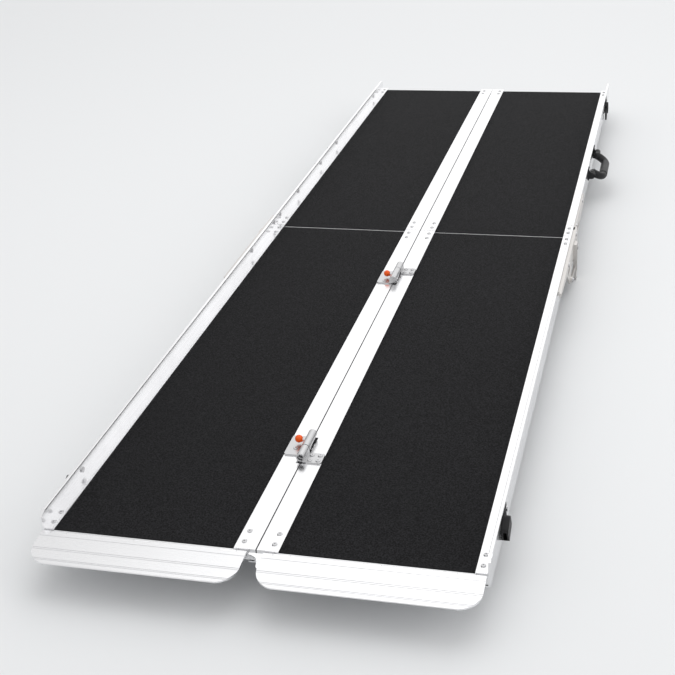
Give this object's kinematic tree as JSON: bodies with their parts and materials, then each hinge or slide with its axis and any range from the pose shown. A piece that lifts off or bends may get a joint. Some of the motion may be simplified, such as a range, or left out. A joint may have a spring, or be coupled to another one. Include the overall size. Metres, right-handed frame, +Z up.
{
  "type": "folding dog ramp",
  "caption": "Long folding aluminium dog ramp with a black non-slip deck, raised side curbs, sprung centre latches, hinged front lips, support legs and carry handles.",
  "frame": {"origin": "on the ground, at the middle of the overall length, on the centre seam between the two halves", "axes": "+Y up the ramp from the front lips to the top end, +X to the right of someone walking up it, +Z up from the deck"},
  "size_m": [0.7741, 2.5154, 0.098],
  "materials": {
    "aluminium": "satin anodised extrusion, fine lengthwise grain",
    "grip_surface": "black gritty non-slip sheet",
    "steel": "plain bright steel",
    "hinge_metal": "stamped plate, satin",
    "latch_metal": "satin plated",
    "orange_knob": "glossy moulded",
    "black_plastic": "moulded, fine texture",
    "handle_rubber": "soft smooth rubber",
    "webbing": "woven nylon webbing"
  },
  "bodies": {
    "lower_right": {"side_rail_lower_right": "aluminium", "inner_rail_lower_right": "aluminium", "deck_plate_lower_right": "aluminium", "grip_sheet_lower_right": "grip_surface", "cross_tubes_lower_right": "aluminium", "rivets_lower_right": "steel", "strap_lower_right": "webbing", "buckle_lower_right": "black_plastic", "front_end_bar_right": "aluminium", "lip_hinge_rod_right": "steel", "hinge_plates_lower_right": "hinge_metal", "support_leg_right": "hinge_metal", "hinge_bolts_right": "steel", "latch_knuckle_near": "latch_metal", "latch_knuckle_far": "latch_metal"},
    "upper_right": {"side_rail_upper_right": "aluminium", "inner_rail_upper_right": "aluminium", "deck_plate_upper_right": "aluminium", "grip_sheet_upper_right": "grip_surface", "cross_tubes_upper_right": "aluminium", "rivets_upper_right": "steel", "strap_upper_right": "webbing", "buckle_upper_right": "black_plastic", "hinge_plates_upper_right": "hinge_metal", "handle_brackets_right": "black_plastic"},
    "lip_right": {"lip_right": "aluminium"},
    "handle_right": {"handle_grip_right": "handle_rubber"},
    "lower_left": {"side_rail_lower_left": "aluminium", "inner_rail_lower_left": "aluminium", "deck_plate_lower_left": "aluminium", "grip_sheet_lower_left": "grip_surface", "cross_tubes_lower_left": "aluminium", "rivets_lower_left": "steel", "strap_lower_left": "webbing", "buckle_lower_left": "black_plastic", "front_end_bar_left": "aluminium", "lip_hinge_rod_left": "steel", "hinge_plates_lower_left": "hinge_metal", "support_leg_left": "hinge_metal", "hinge_bolts_left": "steel", "latch_barrel_near": "latch_metal", "latch_barrel_far": "latch_metal", "latch_spring_near": "steel", "latch_spring_far": "steel"},
    "upper_left": {"side_rail_upper_left": "aluminium", "inner_rail_upper_left": "aluminium", "deck_plate_upper_left": "aluminium", "grip_sheet_upper_left": "grip_surface", "cross_tubes_upper_left": "aluminium", "rivets_upper_left": "steel", "strap_upper_left": "webbing", "buckle_upper_left": "black_plastic", "hinge_plates_upper_left": "hinge_metal", "handle_brackets_left": "black_plastic"},
    "lip_left": {"lip_left": "aluminium"},
    "handle_left": {"handle_grip_left": "handle_rubber"},
    "pin_near": {"latch_pin_near": "steel", "latch_knob_near": "orange_knob"},
    "pin_far": {"latch_pin_far": "steel", "latch_knob_far": "orange_knob"}
  },
  "joints": [
    {"name": "centre_fold", "type": "hinge", "parent": "lower_right", "child": "lower_left", "pos_m": [0, -0.5837, 0.082], "axis": [0, 1, 0], "range_deg": [0, 170]},
    {"name": "cross_fold_right", "type": "hinge", "parent": "lower_right", "child": "upper_right", "pos_m": [0.18, 0.0938, 0.0465], "axis": [-1, 0, 0], "range_deg": [0, 180]},
    {"name": "cross_fold_left", "type": "hinge", "parent": "lower_left", "child": "upper_left", "pos_m": [-0.18, 0.0938, 0.0465], "axis": [-1, 0, 0], "range_deg": [0, 180]},
    {"name": "lip_swing_right", "type": "hinge", "parent": "lower_right", "child": "lip_right", "pos_m": [0.18, -1.1897, 0.066], "axis": [1, 0, 0], "range_deg": [-78, 0]},
    {"name": "lip_swing_left", "type": "hinge", "parent": "lower_left", "child": "lip_left", "pos_m": [-0.18, -1.1897, 0.066], "axis": [1, 0, 0], "range_deg": [-78, 0]},
    {"name": "latch_near", "type": "slide", "parent": "lower_left", "child": "pin_near", "axis": [0, 1, 0], "range_m": [0, 0.012], "stiffness_N_per_m": 400, "springref_m": -0.005, "deforming": ["latch_spring_near"]},
    {"name": "latch_far", "type": "slide", "parent": "lower_left", "child": "pin_far", "axis": [0, -1, 0], "range_m": [0, 0.012], "stiffness_N_per_m": 400, "springref_m": -0.005, "deforming": ["latch_spring_far"]},
    {"name": "handle_swing_right", "type": "hinge", "parent": "upper_right", "child": "handle_right", "pos_m": [0.362, 0.5848, 0.074], "axis": [0, -1, 0], "range_deg": [-50, 115]},
    {"name": "handle_swing_left", "type": "hinge", "parent": "upper_left", "child": "handle_left", "pos_m": [-0.362, 0.5848, 0.074], "axis": [0, 1, 0], "range_deg": [0, 165]}
  ]
}
